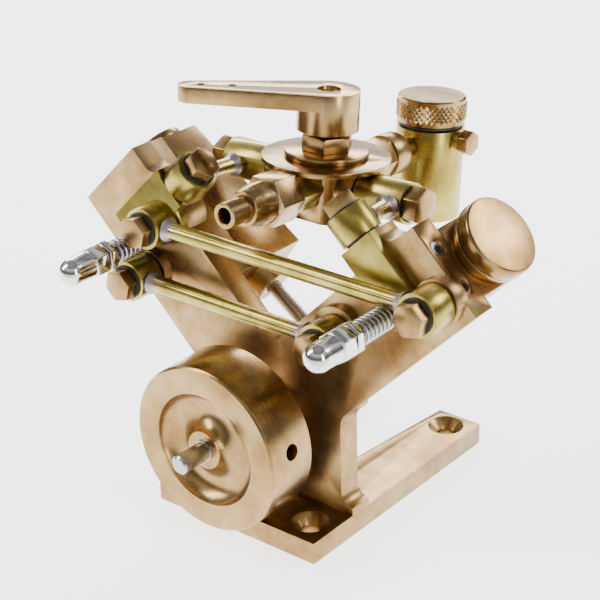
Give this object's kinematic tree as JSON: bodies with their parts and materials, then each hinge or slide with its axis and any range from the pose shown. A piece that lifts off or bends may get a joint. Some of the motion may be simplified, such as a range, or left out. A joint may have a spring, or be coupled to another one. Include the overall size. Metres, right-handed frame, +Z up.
{
  "type": "model steam engine",
  "caption": "Small brass model steam engine with two oscillating cylinders on a V frame, flywheel, piped steam valve with lever and lubricator",
  "frame": {"origin": "centre of the four base holes, on the underside of the base", "axes": "X to the right, Y to the back, Z up; the shaft points to -Y"},
  "size_m": [0.0927, 0.0852, 0.0803],
  "materials": {
    "bronze": "satin",
    "brass": "satin",
    "steel": "satin",
    "chrome": "polished",
    "rubber": "matte"
  },
  "bodies": {
    "frame": {"base_plate": "bronze", "v_frame": "bronze", "frame_screws": "steel", "left_port_block": "brass", "right_port_block": "brass", "passage_plugs": "steel", "upper_left_ring": "brass", "upper_right_ring": "brass", "lower_left_ring": "brass", "lower_right_ring": "brass", "left_inlet_ring": "brass", "right_inlet_ring": "brass", "banjo_bolts": "bronze", "sealing_washers": "rubber", "upper_cross_tube": "brass", "lower_cross_tube": "brass", "left_valve_pipe": "brass", "right_valve_pipe": "brass", "left_valve_ring": "brass", "right_valve_ring": "brass", "valve_bolts": "bronze", "valve_body": "bronze", "valve_cover": "bronze", "gland_nut": "bronze", "inlet_adaptor": "brass", "union_nut": "bronze", "inlet_nozzle": "bronze", "lubricator_fitting": "bronze", "lubricator_body": "brass", "cap_ring": "rubber", "main_bearing": "bronze"},
    "crank": {"crankshaft": "steel", "crank_disc": "steel", "crankpin": "steel", "flywheel": "bronze", "flywheel_grub": "steel"},
    "right_rock": {"right_cylinder": "bronze", "right_outer_cap": "bronze", "right_inner_cap": "bronze", "right_stud": "steel", "right_spring": "chrome", "right_spring_nut": "chrome", "right_acorn_nut": "chrome"},
    "left_rock": {"left_cylinder": "bronze", "left_outer_cap": "bronze", "left_inner_cap": "bronze", "left_stud": "steel", "left_spring": "chrome", "left_spring_nut": "chrome", "left_acorn_nut": "chrome"},
    "right_slide": {"right_piston": "steel", "right_piston_rod": "steel"},
    "left_slide": {"left_piston": "steel", "left_piston_rod": "steel"},
    "lever": {"control_lever": "bronze", "valve_spindle": "steel"},
    "cap": {"lubricator_cap": "bronze"},
    "drain": {"drain_screw": "bronze"}
  },
  "joints": [
    {"name": "crank_turn", "type": "hinge", "parent": "frame", "child": "crank", "pos_m": [0, -0.02, 0.021], "axis": [0, 1, 0], "continuous": true},
    {"name": "right_rocking", "type": "hinge", "parent": "frame", "child": "right_rock", "pos_m": [0.02843, -0.0135, 0.04943], "axis": [0, 1, 0], "range_deg": [-9.9, 9.9]},
    {"name": "left_rocking", "type": "hinge", "parent": "frame", "child": "left_rock", "pos_m": [-0.02843, -0.0135, 0.04943], "axis": [0, 1, 0], "range_deg": [0, 19.8]},
    {"name": "right_stroke", "type": "slide", "parent": "right_rock", "child": "right_slide", "axis": [-0.7071, 0, -0.7071], "range_m": [0, 0.014]},
    {"name": "left_stroke", "type": "slide", "parent": "left_rock", "child": "left_slide", "axis": [0.8179, 0, -0.5753], "range_m": [-0.0076, 0.0064]},
    {"name": "lever_turn", "type": "hinge", "parent": "frame", "child": "lever", "pos_m": [0, 0.00258, 0.07127], "axis": [0, 0.0872, 0.9962], "range_deg": [-45, 45]},
    {"name": "cap_turn", "type": "hinge", "parent": "frame", "child": "cap", "pos_m": [0, 0.03591, 0.06434], "axis": [0, 0.0872, 0.9962], "continuous": true},
    {"name": "drain_turn", "type": "hinge", "parent": "frame", "child": "drain", "pos_m": [0.008, 0.03555, 0.06025], "axis": [1, 0, 0], "continuous": true}
  ]
}
